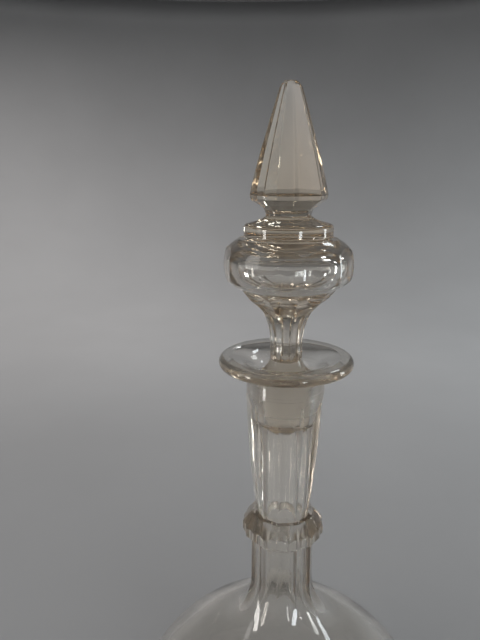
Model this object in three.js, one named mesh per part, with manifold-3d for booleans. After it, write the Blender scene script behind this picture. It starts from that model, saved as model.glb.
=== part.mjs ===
// A shaft-and-globe decanter of clear cut crystal with a tall spire stopper.
// Millimetres, +Z up, origin at the middle of the face that it stands on.
import * as THREE from "three";
import { mergeVertices } from "three/addons/utils/BufferGeometryUtils.js";
import Module from "manifold-3d";

const wasm = await Module();
wasm.setup();

// Driving dimensions: the globe and its foot.
const globeRadius = 84.5;
const globeCentre = 71.5; // height of the widest circle
const globeWall = 4.5;
const footRadius = 42;
const footEdge = 1.2; // rounding of the foot's outer edge
const kickRadius = 25; // polished hollow under the foot
const kickDepth = 2.5;
const floorThickness = 9;

// Driving dimensions: the neck.
const boreRadius = 8.8;
const neckWall = 4.2; // just above the ring
const bandWall = 4.8; // round the ground socket
const neckSpread = 2.4; // how much wider the neck is below the ring than above it
const neckSwell = 0.8; // how far the upper neck bows out of a straight taper
const shoulderSweep = 34; // radius of the hollow curve from neck to globe
const innerSweep = 36; // radius of the same curve on the inside
const lowerNeckLength = 22.6;
const upperNeckLength = 71;
const bandHeight = 8; // round, uncut band under the lip
const archHeight = 5; // of the arches that end the flats under the band
const boreTaper = 6; // length over which the bore widens to the ground socket
const neckCuts = 10; // flat cuts round the neck
const cutReach = 62; // radius at which the cuts run out on the globe
const shoulderBite = 0.4; // share of a full flat's depth that is left where neck becomes globe

// Driving dimensions: the ring round the neck.
const ringHeight = 13.8;
const ringStand = 6.8; // how far the ring stands out from the neck
const ringFootShare = 0.62; // of the stand, at the ring's lower edge
const ringTopShare = 0.38; // of the stand, at the ring's upper edge
const ridgeFrom = 0.26; // share of the height where the upright ridge starts
const ridgeTo = 0.62; // and where it ends

// Driving dimensions: the lip and its funnel.
const lipRadius = 31;
const lipHeight = 8.6;
const lipEdge = 5.4; // thickness at the outer edge
const lipFillet = 1.2; // where the neck turns out into the lip
const rimWidth = 6; // flat rim outside the funnel
const funnelDip = 1.8; // how little the funnel falls before it turns down to the socket

// Driving dimensions: the stopper's plug, stem and bulb.
const plugRadius = 13; // top of the ground taper
const plugTaper = 0.11; // radius lost for each millimetre down
const plugLength = 21; // ground length
const plugNose = 8; // rounded end below the ground length
const plugSlope = 3; // height of the sloping top, from the plug in to the stem
const plugSink = 9; // how far the plug's top sits below the lip
const seatGap = 0.3; // between the plug and its socket
const stemRadius = 7.2;
const stemLength = 29.5;
const stemFlare = 3.9; // how much wider the stem is under the bulb
const stemCuts = 10; // and as many panels round the bulb
const skirtHeight = 11.8; // of the cut underside that the stem opens into
const skirtRadius = 22.8;
const bulbRadius = 30.6; // before the panels are cut
const bulbHeight = 33;
const bulbRise = 0.64; // share of the height at which the bulb is widest
const bulbFullness = 0.66; // depth of the round below, as a share of the depth there
const shoulderOfBulb = 22; // radius at the bulb's top, where the merese sits
const panelDepth = 2.9;
const panelBow = 24; // radius to which each panel bows from top to bottom

// Driving dimensions: the merese and the spire.
const mereseRadius = 19.7;
const mereseHeight = 9.8;
const mereseEdge = 1.2; // rounding of its lower edge
const mereseBrow = 2.4; // rounding of its upper edge
const waistRadius = 9.8; // where the spire meets the merese
const spireRadius = 17.2;
const spireHeight = 54.3;
const spireSides = 8;
const spireTip = 4.6;
const tipFlat = 2.8; // radius of the small flat on the tip
const stopperTurn = 22; // degrees from the neck's cuts to the stopper's
const spireTurn = -7; // degrees from the bulb's cuts to the spire's

// Shared clearance and fineness.
const joinGap = 0.3; // between glass parts that are joined hot
const roundSides = 40;
const beyond = 30; // how far a cutting form stands clear of the glass it leaves alone

// Points along an arc of a profile, [radius, height], with angles in degrees above outward.
function arc(r, z, across, up, from, to, steps) {
  return Array.from({ length: steps + 1 }, (_, i) => {
    const a = THREE.MathUtils.degToRad(from + ((to - from) * i) / steps);
    return [r + across * Math.cos(a), z + up * Math.sin(a)];
  });
}

// Points along a curve from one profile point to another, drawn towards a third.
function bend(from, towards, to, steps) {
  const [a, b, c] = [from, towards, to].map((p) => new THREE.Vector2(...p));
  return new THREE.QuadraticBezierCurve(a, b, c).getPoints(steps).map((p) => [p.x, p.y]);
}

// A profile, listed from the bottom up, turned about the Z axis: many sides for
// a blown form, a few for a form cut in flats.
function turned(profile, sides) {
  const points = profile.map(([r, z]) => new THREE.Vector2(Math.max(r, 0), z));
  return solidOf(new THREE.LatheGeometry(points, sides).rotateX(Math.PI / 2));
}

// A closed geometry as a solid, with the flat triangles at its poles dropped.
function solidOf(geometry) {
  geometry.deleteAttribute("normal");
  geometry.deleteAttribute("uv");
  const merged = mergeVertices(geometry, 1e-3);
  const corners = merged.index.array;
  const kept = [];
  for (let i = 0; i < corners.length; i += 3) {
    const [a, b, c] = corners.subarray(i, i + 3);
    if (a !== b && b !== c && c !== a) kept.push(a, b, c);
  }
  return new wasm.Manifold(
    new wasm.Mesh({
      numProp: 3,
      vertProperties: merged.attributes.position.array,
      triVerts: new Uint32Array(kept),
    }),
  );
}

// Clear glass, shared by every mesh.
const glass = new THREE.MeshStandardMaterial({
  color: 0xd9dcd4,
  roughness: 0.03,
  metalness: 0,
  transparent: true,
  opacity: 0.35,
});

// A solid as a named mesh of glass.
function glassMesh(name, solid) {
  const { vertProperties, triVerts } = solid.getMesh();
  const geometry = new THREE.BufferGeometry();
  geometry.setAttribute("position", new THREE.BufferAttribute(vertProperties, 3));
  geometry.setIndex(new THREE.BufferAttribute(triVerts, 1));
  geometry.computeVertexNormals();
  const mesh = new THREE.Mesh(geometry, glass);
  mesh.name = name;
  return mesh;
}

// Heights, each measured up from the one below it.
const lowerNeckRadius = boreRadius + neckWall + neckSpread;
const sweepRadius = lowerNeckRadius + shoulderSweep; // where the hollow curve has its centre
const sweepReach = globeRadius + shoulderSweep;
const neckFoot = globeCentre + Math.sqrt(sweepReach ** 2 - sweepRadius ** 2);
const sweepAngle = THREE.MathUtils.radToDeg(Math.asin((neckFoot - globeCentre) / sweepReach));
const ringBottom = neckFoot + lowerNeckLength;
const ringTop = ringBottom + ringHeight;
const lipUnderside = ringTop + upperNeckLength;
const lipTop = lipUnderside + lipHeight;
const cutTop = lipUnderside - bandHeight;
const plugTop = lipTop - plugSink;
const plugFoot = plugTop - plugLength;
const stemTop = plugTop + stemLength;
const bulbTop = stemTop + bulbHeight;
const bulbMiddle = stemTop + bulbHeight * bulbRise;
const mereseFoot = bulbTop + joinGap;
const spireFoot = mereseFoot + mereseHeight + joinGap;
const spireTop = spireFoot + spireHeight;

// Radii that follow from what sits inside them.
const neckRadius = boreRadius + neckWall; // where the ring sits
const plugFootRadius = plugRadius - plugTaper * plugLength;
const socketRadius = plugRadius + seatGap;
const neckTopRadius = socketRadius + bandWall;
const lowerBelly = globeCentre / Math.sqrt(1 - (footRadius / globeRadius) ** 2);
const footAngle = THREE.MathUtils.radToDeg(Math.asin((footEdge - globeCentre) / lowerBelly));

// The hollow curve from globe to neck.
function shoulder() {
  return arc(sweepRadius, neckFoot, shoulderSweep, shoulderSweep, 180 + sweepAngle, 180, 6);
}

// The side of the upper neck, from the ring to the arches, as a gentle bow.
function neckSide() {
  const steps = 4;
  const height = cutTop - archHeight - ringTop;
  const spread = neckTopRadius - neckRadius;
  return Array.from({ length: steps + 1 }, (_, i) => {
    const t = i / steps;
    const bow = 4 * neckSwell * t * (1 - t);
    return [neckRadius + spread * t + bow, ringTop + height * t];
  });
}

// The outside of the blown vessel, before cutting.
function vesselBlank() {
  const edge = lipEdge / 2;
  return turned(
    [
      [0, kickDepth],
      ...bend([kickRadius / 4, kickDepth], [kickRadius * 0.8, kickDepth], [kickRadius, 0], 3),
      [footRadius - footEdge, 0],
      ...arc(0, globeCentre, globeRadius, lowerBelly, footAngle, 0, 9),
      ...arc(0, globeCentre, globeRadius, globeRadius, 0, sweepAngle, 8).slice(1),
      ...shoulder().slice(1),
      [lowerNeckRadius, ringBottom],
      ...neckSide(),
      [neckTopRadius, lipUnderside - lipFillet],
      [neckTopRadius + lipFillet, lipUnderside + lipFillet / 2],
      ...arc(lipRadius - edge, lipTop - edge, edge, edge, -80, 80, 6),
      [lipRadius - rimWidth, lipTop],
      [0, lipTop],
    ],
    roundSides,
  );
}

// From the middle of a flat to its corner, as a ratio of radii.
const widen = 1 / Math.cos(Math.PI / neckCuts);

// Where the cutting form's corner lies when its flats bite into a round of this
// radius by only a share of their full depth.
function cornerOver(radius, bite) {
  return radius / (1 - (1 - 1 / widen) * (1 - bite));
}

// The ten-sided form that leaves flats on the neck and tapering flats on the shoulder.
// Its corners touch the neck, and it stands clear of the band, the lip and the globe.
function neckForm() {
  const clear = lipRadius + beyond;
  const line = shoulder();
  const lineEnd = line[0][0];
  const sweep = line.map(([r, z], i) => {
    const up = i / (line.length - 1);
    return [cornerOver(r, shoulderBite + (1 - shoulderBite) * up), z];
  });
  const fan = [1, 0.75, 0.5, 0.25].map((t) => {
    const radius = lineEnd + (cutReach - lineEnd) * t;
    return [cornerOver(radius, shoulderBite * (1 - t)), globeCentre + Math.sqrt(globeRadius ** 2 - radius ** 2)];
  });
  return turned(
    [
      [0, -beyond],
      [globeRadius + beyond, -beyond],
      [globeRadius + beyond, globeCentre],
      ...fan,
      ...sweep,
      [lowerNeckRadius, ringBottom],
      ...neckSide(),
      [neckTopRadius * widen, cutTop],
      [clear, cutTop + joinGap],
      [clear, lipTop + beyond],
      [0, lipTop + beyond],
    ],
    neckCuts,
  );
}

// The space inside: globe, bore, ground socket and funnel, as one form to take away.
function vesselHollow() {
  const innerRadius = globeRadius - globeWall;
  const innerBelly = lowerBelly - globeWall;
  const floorAngle = THREE.MathUtils.radToDeg(Math.asin((floorThickness - globeCentre) / innerBelly));
  const innerSweepRadius = boreRadius + innerSweep;
  const rise = Math.sqrt((innerRadius + innerSweep) ** 2 - innerSweepRadius ** 2);
  const innerAngle = THREE.MathUtils.radToDeg(Math.asin(rise / (innerRadius + innerSweep)));
  const funnelRadius = lipRadius - rimWidth;
  const funnelTurn = [socketRadius + funnelDip, lipTop - funnelDip];
  return turned(
    [
      [0, floorThickness],
      ...arc(0, globeCentre, innerRadius, innerBelly, floorAngle, 0, 6),
      ...arc(0, globeCentre, innerRadius, innerRadius, 0, innerAngle, 7).slice(1),
      ...arc(innerSweepRadius, globeCentre + rise, innerSweep, innerSweep, 180 + innerAngle, 180, 4).slice(1),
      [boreRadius, plugFoot - plugNose - boreTaper],
      [plugFootRadius + seatGap, plugFoot - seatGap],
      ...bend([socketRadius, plugTop], funnelTurn, [funnelRadius, lipTop], 3),
      [funnelRadius, lipTop + beyond],
      [0, lipTop + beyond],
    ],
    roundSides,
  );
}

// Blown in one piece from foot to lip, then cut: ten flats run down the neck
// and fan out over the shoulder.
function makeVessel() {
  return glassMesh("vessel", vesselBlank().intersect(neckForm()).subtract(vesselHollow()));
}

// A separate gather of glass laid round the neck and cut to an upright ten-sided
// ridge with a bevel above and below.
function makeNeckRing() {
  const at = (share) => ringBottom + ringHeight * share;
  const out = (share) => neckRadius + ringStand * share;
  const ring = turned(
    [
      [0, ringBottom],
      [out(ringFootShare), ringBottom],
      [out(1), at(ridgeFrom)],
      [out(1), at(ridgeTo)],
      [out(ringTopShare), ringTop],
      [0, ringTop],
    ],
    neckCuts,
  );
  const hole = turned(
    [
      [0, ringBottom - beyond],
      [lowerNeckRadius + joinGap, ringBottom - beyond],
      [lowerNeckRadius + joinGap, ringBottom],
      [neckRadius + joinGap, ringTop],
      [neckRadius + joinGap, ringTop + beyond],
      [0, ringTop + beyond],
    ],
    roundSides,
  );
  return glassMesh("neck_ring", ring.subtract(hole));
}

// The plug that is ground into the neck, with a rounded nose and a sloping top.
function plugSolid() {
  return turned(
    [
      ...arc(0, plugFoot, plugFootRadius, plugNose, -90, 0, 6),
      [plugRadius, plugTop],
      [plugRadius - plugSlope / 4, plugTop + plugSlope / 4],
      [stemRadius, plugTop + plugSlope],
      [0, plugTop + plugSlope],
    ],
    roundSides,
  );
}

// The fluted stem, from the plug to the cut underside of the bulb. It keeps its
// width for half its length, then opens faster and faster.
function stemSolid() {
  const middle = [stemRadius, plugTop + stemLength / 2];
  const flared = [stemRadius + stemFlare, stemTop];
  return turned(
    [
      [0, plugTop],
      [stemRadius, plugTop],
      ...bend(middle, [stemRadius, stemTop - stemLength * 0.2], flared, 5),
      [skirtRadius, stemTop + skirtHeight],
      [0, stemTop + skirtHeight],
    ],
    stemCuts,
  );
}

// The bulb, flattened like an onion and cut with ten slightly bowed panels round its middle.
function bulbSolid() {
  const below = (bulbMiddle - stemTop) * bulbFullness;
  const above = bulbTop - bulbMiddle;
  const topAngle = THREE.MathUtils.radToDeg(Math.acos(shoulderOfBulb / bulbRadius));
  const aboveRound = above / Math.sin(THREE.MathUtils.degToRad(topAngle));
  const round = arc(0, bulbMiddle, bulbRadius, below, -48, 0, 6);
  const blank = turned(
    [
      [0, round[0][1]],
      ...round,
      ...arc(0, bulbMiddle, bulbRadius, aboveRound, 0, topAngle, 6).slice(1),
      [0, bulbTop],
    ],
    roundSides,
  );
  const cornerRadius = (bulbRadius - panelDepth) / Math.cos(Math.PI / stemCuts);
  const bow = arc(cornerRadius - panelBow, bulbMiddle, panelBow, panelBow, -40, 40, 8);
  return blank.intersect(turned([[0, bow[0][1]], ...bow, [0, bow[8][1]]], stemCuts));
}

// Plug, stem and bulb are one piece of glass.
function makeStopperBulb() {
  return glassMesh("stopper_bulb", plugSolid().add(stemSolid()).add(bulbSolid()));
}

// The merese: the round wafer of glass that joins the spire to the bulb.
function makeMerese() {
  const brow = mereseFoot + mereseHeight * 0.45;
  const top = mereseFoot + mereseHeight;
  return glassMesh(
    "stopper_merese",
    turned(
      [
        [0, mereseFoot],
        ...arc(mereseRadius - mereseEdge, mereseFoot + mereseEdge, mereseEdge, mereseEdge, -90, 0, 3),
        ...arc(mereseRadius - mereseBrow, brow, mereseBrow, mereseBrow, 0, 60, 3),
        ...bend([mereseRadius - mereseBrow * 1.4, brow + mereseBrow], [waistRadius + 1, top - 2], [waistRadius, top], 3),
        [0, top],
      ],
      roundSides,
    ),
  );
}

// The solid eight-sided spire: a bevelled underside on a narrow waist, a short
// rounded base, then flats that lean in a little faster towards the tip.
function makeSpire() {
  const at = (share) => spireFoot + spireHeight * share;
  const spire = turned(
    [
      [0, spireFoot],
      [waistRadius, spireFoot],
      [waistRadius * 1.08, at(0.035)],
      [spireRadius * 0.76, at(0.075)],
      [spireRadius * 0.97, at(0.115)],
      ...bend([spireRadius, at(0.15)], [spireRadius * 0.86, at(0.38)], [spireTip, at(0.965)], 7),
      [tipFlat, spireTop],
      [0, spireTop],
    ],
    spireSides,
  );
  return glassMesh("stopper_spire", spire.rotate([0, 0, spireTurn]));
}

const decanter = new THREE.Group();
decanter.add(makeVessel(), makeNeckRing());

const stopper = new THREE.Group();
stopper.rotation.z = THREE.MathUtils.degToRad(stopperTurn);
stopper.add(makeStopperBulb(), makeMerese(), makeSpire());
decanter.add(stopper);

export default decanter;
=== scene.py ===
"""A cut crystal shaft-and-globe decanter with a spire stopper, standing on a pale floor."""

import math

import bmesh
import bpy
from mathutils import Euler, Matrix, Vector


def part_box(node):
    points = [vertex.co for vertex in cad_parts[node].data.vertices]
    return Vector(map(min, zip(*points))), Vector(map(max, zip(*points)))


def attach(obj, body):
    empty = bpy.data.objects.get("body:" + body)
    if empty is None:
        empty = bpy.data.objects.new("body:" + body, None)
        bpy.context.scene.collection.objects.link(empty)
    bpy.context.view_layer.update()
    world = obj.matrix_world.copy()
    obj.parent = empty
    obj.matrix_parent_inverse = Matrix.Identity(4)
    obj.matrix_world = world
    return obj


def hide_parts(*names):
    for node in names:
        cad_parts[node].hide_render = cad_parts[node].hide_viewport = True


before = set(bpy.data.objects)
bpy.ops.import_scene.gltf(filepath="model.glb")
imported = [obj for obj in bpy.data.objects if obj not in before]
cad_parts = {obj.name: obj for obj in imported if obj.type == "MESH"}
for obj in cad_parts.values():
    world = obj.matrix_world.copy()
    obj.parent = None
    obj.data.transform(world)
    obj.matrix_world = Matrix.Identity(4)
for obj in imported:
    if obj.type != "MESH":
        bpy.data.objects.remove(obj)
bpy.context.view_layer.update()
MM = 0.001

# ---------------------------------------------------------------- the blown vessel
# One gather of lead crystal, blown to a globe with a tall neck and a wide flared lip.
# It is turned here as a round blank with its hollow, before anything is cut.

_, vessel_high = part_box("vessel")
ring_low, ring_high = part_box("neck_ring")
globe_radius = vessel_high.x
globe_centre = 71.5 * MM
globe_wall = 4.5 * MM
foot_radius = 42 * MM
foot_edge = 1.2 * MM
kick_radius = 25 * MM
kick_depth = 2.5 * MM
floor_thickness = 9 * MM
bore_radius = 8.8 * MM
bore_taper = 6 * MM  # the bore starts to widen this far below the plug's nose
bore_turn = 5 * MM  # and turns outward this far below the plug's foot
neck_radius = bore_radius + 4.2 * MM
lower_neck_radius = neck_radius + 2.4 * MM
neck_swell = 0.8 * MM
shoulder_sweep = 34 * MM
inner_sweep = 36 * MM
band_wall = 4.8 * MM
band_height = 8 * MM
band_stand = 0.25 * MM  # left to be ground away where the neck is cut
band_turn = 2.5 * MM  # height over which the band starts to turn out into the lip
arch_height = 5 * MM
lip_top = vessel_high.z
lip_underside = lip_top - 8.6 * MM
lip_radius = 31 * MM
lip_edge = 5.4 * MM
lip_fillet = 0.6 * MM
lip_blend = 1 * MM  # from the lip's underside into its rounded edge
rim_width = 6 * MM
funnel_start = (0.5 * MM, 1 * MM)  # out from the socket and up from the plug's top
funnel_turn = (2.2 * MM, 1.8 * MM)  # out from the socket and down from the lip
plug_radius = 13 * MM
plug_taper = 0.11
plug_length = 21 * MM
plug_nose = 8 * MM
plug_top = lip_top - 9 * MM
plug_foot = plug_top - plug_length
stem_top = plug_top + 29.5 * MM
seat_gap = 0.3 * MM
socket_radius = plug_radius + seat_gap
neck_top_radius = socket_radius + band_wall
cut_top = lip_underside - band_height
beyond = 10 * MM  # how far a cutting form stands clear of the glass that it leaves alone
ROUND = 192  # sides of a blown form
merge = 1e-6  # points closer than this are one


def arc(centre, across, up, start, end, step=3):
    """Points, radius and height, along an elliptical arc; angles are in degrees above outward."""
    steps = max(1, round(abs(end - start) / step))
    angles = [math.radians(start + (end - start) * i / steps) for i in range(steps + 1)]
    return [(centre[0] + across * math.cos(a), centre[1] + up * math.sin(a)) for a in angles]


def curve(start, control, end, steps):
    """Points along a curve that leaves one end towards the control point and meets the other from it."""
    shares = [i / steps for i in range(steps + 1)]
    return [
        tuple(a * (1 - t) ** 2 + 2 * b * t * (1 - t) + c * t * t for a, b, c in zip(start, control, end))
        for t in shares
    ]


def turned(profile, sides):
    """A closed solid turned from a profile, listed bottom to top, with a corner of it towards -Y."""
    bm = bmesh.new()
    line = [bm.verts.new((0, -r, z)) for r, z in profile]
    edges = [bm.edges.new(pair) for pair in zip(line, line[1:])]
    whole = 2 * math.pi
    bmesh.ops.spin(bm, geom=line + edges, axis=(0, 0, 1), angle=whole, steps=sides, use_merge=True)
    bmesh.ops.remove_doubles(bm, verts=bm.verts, dist=merge)
    bmesh.ops.recalc_face_normals(bm, faces=bm.faces)
    return bm


def worked(first, operation, second):
    """Cuts one closed solid with another, or joins them, and gives the solid that is left."""
    pair = []
    for bm in (first, second):
        mesh = bpy.data.meshes.new("work")
        bm.to_mesh(mesh)
        bm.free()
        pair.append(bpy.data.objects.new("work", mesh))
        bpy.context.scene.collection.objects.link(pair[-1])
    cut = pair[0].modifiers.new("cut", "BOOLEAN")
    cut.operation, cut.solver, cut.object = operation, "MANIFOLD", pair[1]
    made = bmesh.new()
    made.from_object(pair[0], bpy.context.evaluated_depsgraph_get())
    bmesh.ops.remove_doubles(made, verts=made.verts, dist=2 * merge)
    bmesh.ops.dissolve_degenerate(made, edges=made.edges, dist=merge)
    for work in pair:
        bpy.data.meshes.remove(work.data)
    return made


sweep_radius = lower_neck_radius + shoulder_sweep
sweep_reach = globe_radius + shoulder_sweep
neck_foot = globe_centre + math.sqrt(sweep_reach**2 - sweep_radius**2)
sweep_angle = math.degrees(math.asin((neck_foot - globe_centre) / sweep_reach))
belly = globe_centre / math.sqrt(1 - (foot_radius / globe_radius) ** 2)
foot_angle = math.degrees(math.asin((foot_edge - globe_centre) / belly))
sweep = arc((sweep_radius, neck_foot), shoulder_sweep, shoulder_sweep, 180 + sweep_angle, 180)


def neck_side(stand, steps=16):
    """The side of the upper neck, a gentle bow, at a distance out from the finished ridges."""
    height = cut_top - arch_height - ring_high.z
    spread = neck_top_radius - neck_radius
    points = []
    for i in range(steps + 1):
        t = i / steps
        bow = 4 * neck_swell * t * (1 - t)
        points.append((neck_radius + spread * t + bow + stand, ring_high.z + height * t))
    return points


def vessel_blank():
    edge = lip_edge / 2
    kick = curve((kick_radius * 0.15, kick_depth), (kick_radius * 0.8, kick_depth), (kick_radius, 0), 10)
    globe = arc((0, globe_centre), globe_radius, belly, foot_angle, 0)
    globe += arc((0, globe_centre), globe_radius, globe_radius, 0, sweep_angle)[1:]
    under_lip = curve(
        (neck_top_radius, lip_underside - band_turn),
        (neck_top_radius + lip_fillet, lip_top - lip_edge - lip_fillet),
        (lip_radius - edge - lip_blend, lip_top - lip_edge),
        10,
    )
    rim = arc((lip_radius - edge, lip_top - edge), edge, edge, -80, 90, 10)
    return turned(
        [
            (0, kick_depth),
            *kick,
            (foot_radius - foot_edge, 0),
            (foot_radius - foot_edge * 0.35, foot_edge * 0.25),
            *globe,
            *[(r + band_stand, z) for r, z in sweep[1:]],
            (lower_neck_radius + band_stand, ring_low.z),
            *neck_side(band_stand),
            *under_lip,
            *rim,
            (lip_radius - rim_width, lip_top),
            (0, lip_top),
        ],
        ROUND,
    )


def vessel_hollow():
    inner_radius, inner_belly = globe_radius - globe_wall, belly - globe_wall
    floor_angle = math.degrees(math.asin((floor_thickness - globe_centre) / inner_belly))
    bend_radius = bore_radius + inner_sweep
    rise = math.sqrt((inner_radius + inner_sweep) ** 2 - bend_radius**2)
    bend_angle = math.degrees(math.asin(rise / (inner_radius + inner_sweep)))
    bend_centre = (bend_radius, globe_centre + rise)
    globe = arc((0, globe_centre), inner_radius, inner_belly, floor_angle, 0)
    globe += arc((0, globe_centre), inner_radius, inner_radius, 0, bend_angle)[1:]
    globe += arc(bend_centre, inner_sweep, inner_sweep, 180 + bend_angle, 180)[1:]
    bore_end = plug_foot - plug_nose - bore_taper
    bore = curve(
        (bore_radius, bore_end),
        (bore_radius, plug_foot - bore_turn),
        (plug_radius - plug_taper * plug_length + seat_gap, plug_foot - seat_gap),
        8,
    )
    funnel = curve(
        (socket_radius + funnel_start[0], plug_top + funnel_start[1]),
        (socket_radius + funnel_turn[0], lip_top - funnel_turn[1]),
        (lip_radius - rim_width, lip_top),
        12,
    )
    above = lip_top + beyond
    return turned(
        [
            (0, floor_thickness),
            *globe,
            *bore,
            (socket_radius, plug_top),
            *funnel,
            (lip_radius - rim_width, above),
            (0, above),
        ],
        ROUND,
    )


# ---------------------------------------------------------------- the cutting of neck and shoulder
# Ten flats are ground down the neck on a flat wheel and polished. They start in arches under the
# lip, meet in sharp ridges, and fan out over the shoulder until they run out on the globe.

FLATS = 10
FLUTE_STEPS = 6
FAN_STEPS = 14
cut_reach = 62 * MM  # radius at which the cuts run out on the globe
neck_hollow = 0.058  # depth of each cut, as a share of the radius
shoulder_hollow = 0.007
shoulder_ease = 24 * MM  # height over which the one eases into the other
ease_from = neck_foot + 3 * MM
arch_rise = 1 * MM
ridge_polish = 0.12 * MM
widen = 1 / math.cos(math.pi / FLATS)  # from the middle of a flat to its corner


def fluted(profile, hollow, ease_below=0.0):
    """A turned form whose side is ground into ten shallow hollows that meet in sharp ridges.

    Below one height they ease into the shallower hollows of the shoulder."""
    bm = turned(profile, FLATS * FLUTE_STEPS)
    for vert in bm.verts:
        angle = math.atan2(vert.co.x, -vert.co.y)
        share = min(1, max(0, (ease_below - vert.co.z) / shoulder_ease))
        share = share * share * (3 - 2 * share)
        depth = 1 - (hollow + (shoulder_hollow - hollow) * share) * abs(math.sin(angle * FLATS / 2))
        vert.co.x *= depth
        vert.co.y *= depth
    return bm


def neck_form():
    sweep_end = sweep[0][0]
    fan = []
    for i in range(FAN_STEPS):
        t = 1 - i / FAN_STEPS
        corner = sweep_end + (cut_reach - sweep_end) * t
        touching = corner * (1 - shoulder_hollow * t)
        fan.append((corner, globe_centre + math.sqrt(globe_radius**2 - touching**2)))
    clear = lip_radius + beyond
    outside = globe_radius + beyond
    return fluted(
        [
            (0, -beyond),
            (outside, -beyond),
            (outside, fan[0][1]),
            *fan,
            *sweep,
            (lower_neck_radius, ring_low.z),
            *neck_side(0),
            ((neck_top_radius + band_stand) * widen, cut_top),
            (clear, cut_top + arch_rise),
            (clear, lip_top + beyond),
            (0, lip_top + beyond),
        ],
        neck_hollow,
        ease_from,
    )


# ---------------------------------------------------------------- the neck ring
# A second gather of glass is laid hot round the neck. Its ridge is notched on the wheel, with ten
# bevels cut above it and ten below, half a step apart. It is fused to the neck, one glass with it.

NOTCHES = 20
NOTCH_STEPS = 6
notch_depth = 0.035  # as a share of the radius
ring_ridge = neck_radius + 6.8 * MM
ring_foot = neck_radius + 2.9 * MM
ring_brow = neck_radius + 2.6 * MM
ridge_from = 0.26  # shares of the ring's height
ridge_to = 0.62
upper_bevel = 0.955  # how far out each row of bevels meets the ridge, as a share of its radius
lower_bevel = 0.96
ring_polish = 0.15 * MM


def ground_flat(bm, point, normal):
    """Grinds away all that lies beyond a plane and closes the flat that this leaves."""
    everything = bm.verts[:] + bm.edges[:] + bm.faces[:]
    bmesh.ops.bisect_plane(bm, geom=everything, plane_co=point, plane_no=normal, clear_outer=True)
    bmesh.ops.holes_fill(bm, edges=[e for e in bm.edges if e.is_boundary], sides=0)


def around(count, turn=0.0):
    """Directions spaced evenly round the axis, counted from -Y."""
    angles = [math.radians(turn) + 2 * math.pi * i / count for i in range(count)]
    return [Vector((math.sin(a), -math.cos(a), 0)) for a in angles]


def softened(bm, width, sharper_than, segments=2):
    """Takes the razor edge off each arris, as the polishing wheel does."""
    limit = math.radians(sharper_than)
    edges = [e for e in bm.edges if e.is_manifold and e.calc_face_angle() > limit]
    bmesh.ops.bevel(
        bm, geom=edges, offset=width, segments=segments, profile=0.5, affect="EDGES", material=-1
    )
    return bm


def neck_ring():
    low, high = ring_low.z, ring_high.z
    ridge_low = low + (high - low) * ridge_from
    ridge_high = low + (high - low) * ridge_to
    line = [
        (0, low),
        (ring_foot, low),
        (ring_ridge, ridge_low),
        (ring_ridge, ridge_high),
        (ring_brow, high),
        (0, high),
    ]
    bm = turned(line, NOTCH_STEPS * NOTCHES)
    for vert in bm.verts:
        if ridge_low - merge < vert.co.z < ridge_high + merge:
            angle = math.atan2(vert.co.x, -vert.co.y)
            depth = 1 - notch_depth * abs(math.sin(angle * NOTCHES / 2))
            vert.co.x *= depth
            vert.co.y *= depth
    rows = (
        (ridge_high, high, ring_brow - 1 * MM, upper_bevel, 0),
        (ridge_low, low, ring_foot - 0.4 * MM, lower_bevel, 180 / FLATS),
    )
    for start, end, reach, share, turn in rows:
        lean = Vector((0, 0, (ring_ridge * share - reach) * math.copysign(1, end - start)))
        for out in around(FLATS, turn + 180 / FLATS):
            normal = (out * abs(end - start) + lean).normalized()
            ground_flat(bm, out * ring_ridge * share + Vector((0, 0, start)), normal)
    bmesh.ops.remove_doubles(bm, verts=bm.verts, dist=20 * merge)
    return softened(bm, ring_polish, 14)


# ---------------------------------------------------------------- the glass
# Clear lead crystal with a faint straw cast in its depth. Cut faces are polished; the stopper's
# seat and the foot are left ground, which scatters light like frost.

glass_tint = (0.985, 0.975, 0.955, 1)
glass_index = 1.545
glass_clearness = 0.95
depth_cast = (0.86, 0.60, 0.20, 1)
polished, smeared, frosted = 0.005, 0.02, 0.38  # roughness, and what a film or grinding adds to it
wave_scale, wheel_scale, grain_scale, smear_scale = 26, 520, 2600, 45
wheel_stretch = (1, 1, 0.04)  # the wheel's marks run up and down
wave_height, wheel_height, grain_height = 0.5, 0.5, 0.2
relief = 0.2 * MM
seat_starts = plug_foot + 4 * MM
seat_reach = socket_radius + 0.4 * MM
foot_wear = 0.25 * MM
cut_core = bore_radius * 0.6
crease = 9  # degrees past which two faces meet in a sharp edge


class Signal:
    """A value that varies over the glass, so that shader maths reads as sums."""

    def __init__(self, recipe, socket):
        self.recipe = recipe
        self.socket = socket

    def joined(self, operation, first, second):
        return self.recipe.node("ShaderNodeMath", {"operation": operation}, [first, second])

    def __add__(self, other):
        return self.joined("ADD", self, other)

    def __mul__(self, other):
        return self.joined("MULTIPLY", self, other)

    def __gt__(self, other):
        return self.joined("GREATER_THAN", self, other)

    def __lt__(self, other):
        return self.joined("LESS_THAN", self, other)

    def __pow__(self, other):
        return self.joined("POWER", self, other)

    def __rpow__(self, other):
        return self.joined("POWER", other, self)

    __radd__ = __add__
    __rmul__ = __mul__


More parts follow.
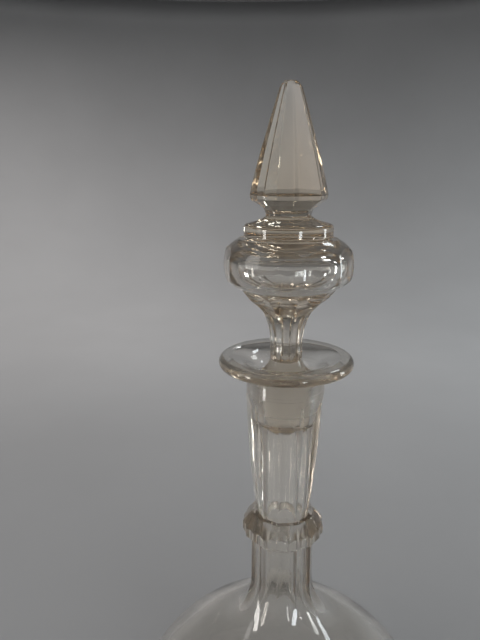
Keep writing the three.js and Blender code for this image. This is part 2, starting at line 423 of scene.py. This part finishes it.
class Recipe:
    """A material and the nodes that make it."""

    def __init__(self, name):
        self.material = bpy.data.materials.new(name)
        self.material.use_nodes = True
        self.tree = self.material.node_tree
        self.tree.nodes.clear()

    def node(self, kind, settings, inputs, output=0):
        """Adds a node, sets it, then gives its sockets values or links. Returns one output."""
        node = self.tree.nodes.new(kind)
        for key, value in settings.items():
            if key == "stops":
                self.set_stops(node.color_ramp.elements, value)
            else:
                setattr(node, key, value)
        pairs = inputs.items() if isinstance(inputs, dict) else enumerate(inputs)
        for key, value in pairs:
            if isinstance(value, Signal):
                self.tree.links.new(value.socket, node.inputs[key])
            else:
                node.inputs[key].default_value = value
        return Signal(self, node.outputs[output]) if node.outputs else None

    @staticmethod
    def set_stops(elements, stops):
        while len(elements) < len(stops):
            elements.new(1)
        for element, (place, grey) in zip(elements, stops):
            element.position = place
            element.color = (grey, grey, grey, 1)


def noise(recipe, place, scale, detail, distortion=0.0):
    inputs = {"Vector": place, "Scale": scale, "Detail": detail, "Distortion": distortion}
    return recipe.node("ShaderNodeTexNoise", {}, inputs)


def crystal(name, density):
    r = Recipe(name)
    place = r.node("ShaderNodeTexCoord", {}, {}, "Object")
    x, y, z = [r.node("ShaderNodeSeparateXYZ", {}, [place], axis) for axis in range(3)]
    out = (x * x + y * y) ** 0.5
    along = r.node("ShaderNodeVectorMath", {"operation": "MULTIPLY"}, [place, wheel_stretch])
    waves = noise(r, place, wave_scale, 1.5)
    wheel = noise(r, along, wheel_scale, 2)
    grain = noise(r, place, grain_scale, 3)
    smear = noise(r, place, smear_scale, 6, 1.2)
    seat = (z > seat_starts) * (z < plug_top) * (out < seat_reach)
    foot = (z < foot_wear) * (out > kick_radius)
    ground = seat + foot
    on_neck = (z > neck_foot) * (z < cut_top)
    on_stem = (z > lip_top) * (z < stem_top)
    fluting = (on_neck + on_stem) * (out > cut_core)
    film = r.node("ShaderNodeValToRGB", {"stops": [(0.45, 0), (0.75, 1)]}, [smear])
    height = waves * wave_height + wheel * fluting * wheel_height + grain * ground * grain_height
    bump = r.node("ShaderNodeBump", {}, {"Strength": 1.0, "Distance": relief, "Height": height})
    shader = r.node(
        "ShaderNodeBsdfPrincipled",
        {},
        {
            "Base Color": glass_tint,
            "Roughness": ground * frosted + film * smeared + polished,
            "IOR": glass_index,
            "Transmission Weight": glass_clearness,
            "Normal": bump,
        },
    )
    depth = r.node("ShaderNodeVolumeAbsorption", {}, {"Color": depth_cast, "Density": density})
    r.node("ShaderNodeOutputMaterial", {}, {"Surface": shader, "Volume": depth})
    return r.material


def placed(name, bm, glass, body, slot, *nodes):
    """Makes a finished solid a piece of glass that rides on a body and stands for its nodes."""
    mesh = bpy.data.meshes.new(name)
    bm.to_mesh(mesh)
    bm.free()
    mesh.materials.append(glass)
    mesh.shade_smooth()
    mesh.set_sharp_from_angle(angle=math.radians(crease))
    piece = bpy.data.objects.new(name, mesh)
    bpy.context.scene.collection.objects.link(piece)
    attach(piece, body)
    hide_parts(*nodes)
    return piece


vessel = worked(vessel_blank(), "INTERSECT", softened(neck_form(), ridge_polish, 30))
vessel = worked(vessel, "UNION", neck_ring())
vessel = worked(vessel, "DIFFERENCE", vessel_hollow())
vessel_glass = crystal("vessel_crystal", 8)
placed("decanter", vessel, vessel_glass, "decanter", "vessel_glass", "vessel", "neck_ring")

# ---------------------------------------------------------------- the stopper
# Plug, fluted stem and hollow bulb are one piece, and a wafer of glass, the merese, joins the
# solid spire to it. The plug is ground to fit the neck; the rest is cut and polished.

_, bulb_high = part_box("stopper_bulb")
merese_low, merese_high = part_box("stopper_merese")
spire_low, spire_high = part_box("stopper_spire")
stopper_turn = 22  # degrees from the neck's cuts to the stopper's
plug_slope = 8 * MM  # height over which the plug's top draws in to the stem
plug_brow = (0.4 * MM, 0.6 * MM)  # in from the plug's side and up from its top
slope_turn = (1.6 * MM, 2.4 * MM)  # out from the stem and up from the plug's top
stem_radius = 7.2 * MM
stem_flare = 3.9 * MM
stem_hollow = 0.1
stem_core = stem_radius - 0.3 * MM  # inside the stem's cuts
skirt = ((14.9 * MM, 3.9 * MM), (18.4 * MM, 6.6 * MM), (22.8 * MM, 11.8 * MM))  # under the bulb
bulb_radius = 30.6 * MM
bulb_middle = stem_top + (bulb_high.z - stem_top) * 0.64
bulb_fullness = 0.66  # height of the curve under the middle, as a share of the way to the stem
bulb_reach = 48  # degrees that the curve runs below the middle
bulb_crown = merese_high.x * 1.12
panel_depth = 2.9 * MM
panel_bow = 24 * MM
panel_polish = 1.3 * MM
arris = 25  # degrees past which an edge is softened on the wheel
bubble_wall = 3.4 * MM
bubble_middle = bulb_middle + 0.6 * MM
bubble_below, bubble_above = 13 * MM, 8.6 * MM
bubble_fullness = 0.82
merese_radius = merese_high.x
merese_edge = 1 * MM
merese_foot = 1.2 * MM
merese_brow = (2.4 * MM, 2 * MM)
overlap = 1 * MM  # how far one gather sinks into the next where they are joined
SPIRE_SIDES = 8
spire_turn = -7  # degrees from the bulb's cuts to the spire's
spire_radius = 17.2 * MM
spire_tip = 4.6 * MM
spire_polish = 0.5 * MM
waist = spire_radius * 0.57
spire_foot = (  # radius, and share of the spire's height
    (waist * 1.08, 0.035),
    (spire_radius * 0.76, 0.075),
    (spire_radius * 0.97, 0.115),
)


def plug():
    foot = plug_radius - plug_taper * plug_length
    slope = curve(
        (plug_radius - plug_brow[0], plug_top + plug_brow[1]),
        (stem_radius + slope_turn[0], plug_top + slope_turn[1]),
        (stem_core, plug_top + plug_slope),
        8,
    )
    nose = arc((0, plug_foot), foot, plug_nose, -90, 0, 5)
    return turned([*nose, (plug_radius, plug_top), *slope, (0, plug_top + plug_slope)], ROUND)


def stem():
    rise = stem_top - plug_top
    side = curve(
        (stem_radius, plug_top + rise * 0.5),
        (stem_radius + stem_flare * 0.05, plug_top + rise * 0.78),
        (stem_radius + stem_flare, stem_top),
        14,
    )
    under = [(out, stem_top + up) for out, up in skirt]
    line = [(0, plug_top), (stem_radius, plug_top), *side, *under, (0, under[-1][1])]
    return softened(fluted(line, stem_hollow), ridge_polish, arris)


def bulb():
    """An onion shape, flattened, with ten panels cut round it that bow from top to bottom."""
    below = (bulb_middle - stem_top) * bulb_fullness
    top_angle = math.degrees(math.acos(bulb_crown / bulb_radius))
    above = (bulb_high.z - bulb_middle) / math.sin(math.radians(top_angle))
    low_side = arc((0, bulb_middle), bulb_radius, below, -bulb_reach, 0)
    high_side = arc((0, bulb_middle), bulb_radius, above, 0, top_angle)[1:]
    blank = turned([(0, low_side[0][1]), *low_side, *high_side, (0, bulb_high.z)], ROUND)
    corner = (bulb_radius - panel_depth) * widen
    barrel = arc((corner - panel_bow, bulb_middle), panel_bow, panel_bow, -bulb_reach, bulb_reach, 2)
    panels = turned([(0, barrel[0][1]), *barrel, (0, barrel[-1][1])], FLATS)
    return worked(blank, "INTERSECT", softened(panels, panel_polish, arris, 3))


def bubble():
    """The air blown into the bulb: a fuller form than an ellipse, so that its wall stays even."""
    inside = bulb_radius - panel_depth - bubble_wall
    line = []
    for degrees in range(-90, 91, 4):
        angle = math.radians(degrees)
        tall = bubble_below if degrees < 0 else bubble_above
        up = math.copysign(abs(math.sin(angle)) ** bubble_fullness, angle)
        line.append((inside * max(0, math.cos(angle)) ** bubble_fullness, bubble_middle + tall * up))
    line[0] = (0, line[0][1])
    line.append((0, bubble_middle + bubble_above))
    return turned(line, ROUND // 2)


def merese():
    low, tall = merese_low.z, merese_high.z - merese_low.z
    foot = arc((merese_radius - merese_edge, low + merese_foot), merese_edge, merese_edge, -70, 0, 10)
    across, up = merese_brow
    brow = arc((merese_radius - across, low + tall * 0.45), across, up, 0, 60, 10)
    rise = curve(
        (merese_radius * 0.84, low + tall * 0.68),
        (waist + 1.5 * MM, low + tall * 0.78),
        (waist, low + tall),
        10,
    )
    return turned(
        [
            (0, low - overlap),
            (merese_radius - merese_foot, low - overlap),
            (merese_radius - merese_edge, low),
            *foot,
            *brow,
            *rise,
            (0, low + tall),
        ],
        ROUND,
    )


def spire():
    low, tall = spire_low.z, spire_high.z - spire_low.z
    side = curve(
        (spire_radius, low + tall * 0.15),
        (spire_radius * 0.86, low + tall * 0.38),
        (spire_tip, low + tall * 0.965),
        12,
    )
    form = turned(
        [
            (0, low - overlap),
            (waist, low - overlap),
            *[(out, low + tall * share) for out, share in spire_foot],
            *side,
            (spire_tip * 0.6, spire_high.z),
            (0, spire_high.z),
        ],
        SPIRE_SIDES,
    )
    swing = Euler((0, 0, math.radians(spire_turn))).to_matrix()
    bmesh.ops.rotate(form, verts=form.verts, matrix=swing)
    return softened(form, spire_polish, arris)


stopper = worked(plug(), "UNION", stem())
for gather in (bulb(), merese(), spire()):
    stopper = worked(stopper, "UNION", gather)
stopper = worked(stopper, "DIFFERENCE", bubble())
swing = Euler((0, 0, math.radians(stopper_turn))).to_matrix()
bmesh.ops.rotate(stopper, verts=stopper.verts, matrix=swing)
stopper_glass = crystal("stopper_crystal", 13)
stopper_nodes = ("stopper_bulb", "stopper_merese", "stopper_spire")
placed("stopper", stopper, stopper_glass, "stopper", "stopper_glass", *stopper_nodes)

# ---------------------------------------------------------------- the studio
# A pale round floor that curves up into a backdrop, narrow windows and small lamps that show in the
# glass only, four broad lamps that light the floor only, and a camera that looks down a little.

floor_drop = 0.2 * MM  # the floor lies this far under the foot
floor_radius = 1.2
backdrop_curve = 1.0
backdrop_heights = (1.3, 2.4)  # up the wall, past the curve


def backdrop():
    wall = floor_radius + backdrop_curve
    bend = arc((floor_radius, backdrop_curve), backdrop_curve, backdrop_curve + floor_drop, -90, 0, 4)
    upright = [(wall, height) for height in backdrop_heights]
    bm = turned([(0, -floor_drop), (floor_radius, -floor_drop), *bend, *upright], ROUND // 2)
    for face in bm.faces:
        if face.normal.z < 0:
            face.normal_flip()
    return bm


paper = Recipe("pale_paper")
paper_place = paper.node("ShaderNodeTexCoord", {}, {}, "Object")
paper_mottle = noise(paper, paper_place, 3, 4)
paper_tone = paper.node("ShaderNodeValToRGB", {"stops": [(0.3, 0.50), (0.7, 0.54)]}, [paper_mottle])
paper_shader = paper.node(
    "ShaderNodeBsdfPrincipled",
    {},
    {"Base Color": paper_tone, "Roughness": 0.9, "Specular IOR Level": 0.0},
)
paper.node("ShaderNodeOutputMaterial", {}, [paper_shader])

floor_mesh = bpy.data.meshes.new("floor")
floor_bm = backdrop()
floor_bm.to_mesh(floor_mesh)
floor_bm.free()
floor_mesh.materials.append(paper.material)
floor_mesh.shade_smooth()
floor = bpy.data.objects.new("floor", floor_mesh)
bpy.context.scene.collection.objects.link(floor)


def softbox(name, place, aim, size, watts, colour, for_floor=False):
    """A lamp that is seen in the glass only, or one that lights the floor only."""
    data = bpy.data.lights.new(name, "AREA")
    data.shape = "RECTANGLE"
    data.size, data.size_y = size
    data.energy = watts
    data.color = colour
    lamp = bpy.data.objects.new(name, data)
    lamp.location = place
    lamp.rotation_euler = (Vector(aim) - Vector(place)).to_track_quat("-Z", "Y").to_euler()
    lamp.visible_camera = False
    lamp.visible_diffuse = for_floor
    lamp.visible_glossy = lamp.visible_transmission = not for_floor
    bpy.context.scene.collection.objects.link(lamp)


middle = (0, 0, 0.25)
low_middle = (0, 0, 0.2)
plain, cool, warm = (1, 1, 1), (0.9, 0.96, 1), (1, 0.97, 0.93)
softbox("window_right", (0.56, -0.71, 0.2), middle, (0.12, 0.36), 1.6, cool)
softbox("window_far_right", (0.92, 0.38, 0.35), middle, (0.15, 0.6), 2.2, cool)
softbox("window_left", (-0.48, -0.36, 0.2), low_middle, (0.09, 0.4), 1.2, warm)
softbox("window_far_left", (-0.93, -0.36, 0.5), middle, (0.2, 0.5), 0.65, warm)
softbox("lamp_right", (0.93, -0.25, 0.18), middle, (0.02, 0.08), 0.12, plain)
softbox("lamp_left", (-0.96, -0.27, 0.12), middle, (0.04, 0.1), 0.35, warm)
softbox("skylight", (0.32, 0.75, 1.05), middle, (0.17, 0.2), 0.8, cool)

wash_watts, wash_size = 4.9, (1.0, 0.7)
for side, tone in ((-1, (1, 0.965, 0.955)), (1, (0.91, 0.965, 1))):
    for end in (-1, 1):
        spot = Vector((0.75 * side, 1.0 * end, 0))
        softbox("floor_wash", spot + Vector((0, 0, 0.9)), spot, wash_size, wash_watts, tone, True)

world = bpy.data.worlds.new("studio")
world.use_nodes = True
sky = world.node_tree.nodes["Background"]
sky.inputs["Color"].default_value = (0.97, 0.98, 1.0, 1)
sky.inputs["Strength"].default_value = 0.15
bpy.context.scene.world = world

bounces = 24  # enough for light to pass through every layer of glass
camera_turn = math.radians(13)
camera_tilt = math.radians(90 - 14.1)
camera_place = Vector((-21.2 * MM, -260 * MM, 377 * MM))
camera_place.rotate(Euler((0, 0, camera_turn)))
camera_data = bpy.data.cameras.new("camera")
camera_data.lens = 33.2
camera_data.sensor_width = 36
camera_data.clip_start = 0.01
camera = bpy.data.objects.new("camera", camera_data)
camera.location = camera_place
camera.rotation_euler = (camera_tilt, 0, camera_turn)
bpy.context.scene.collection.objects.link(camera)
bpy.context.scene.camera = camera
bpy.context.scene.view_settings.view_transform = "Standard"
bpy.context.scene.cycles.max_bounces = bounces
bpy.context.scene.cycles.transmission_bounces = bounces
bpy.context.scene.cycles.glossy_bounces = bounces
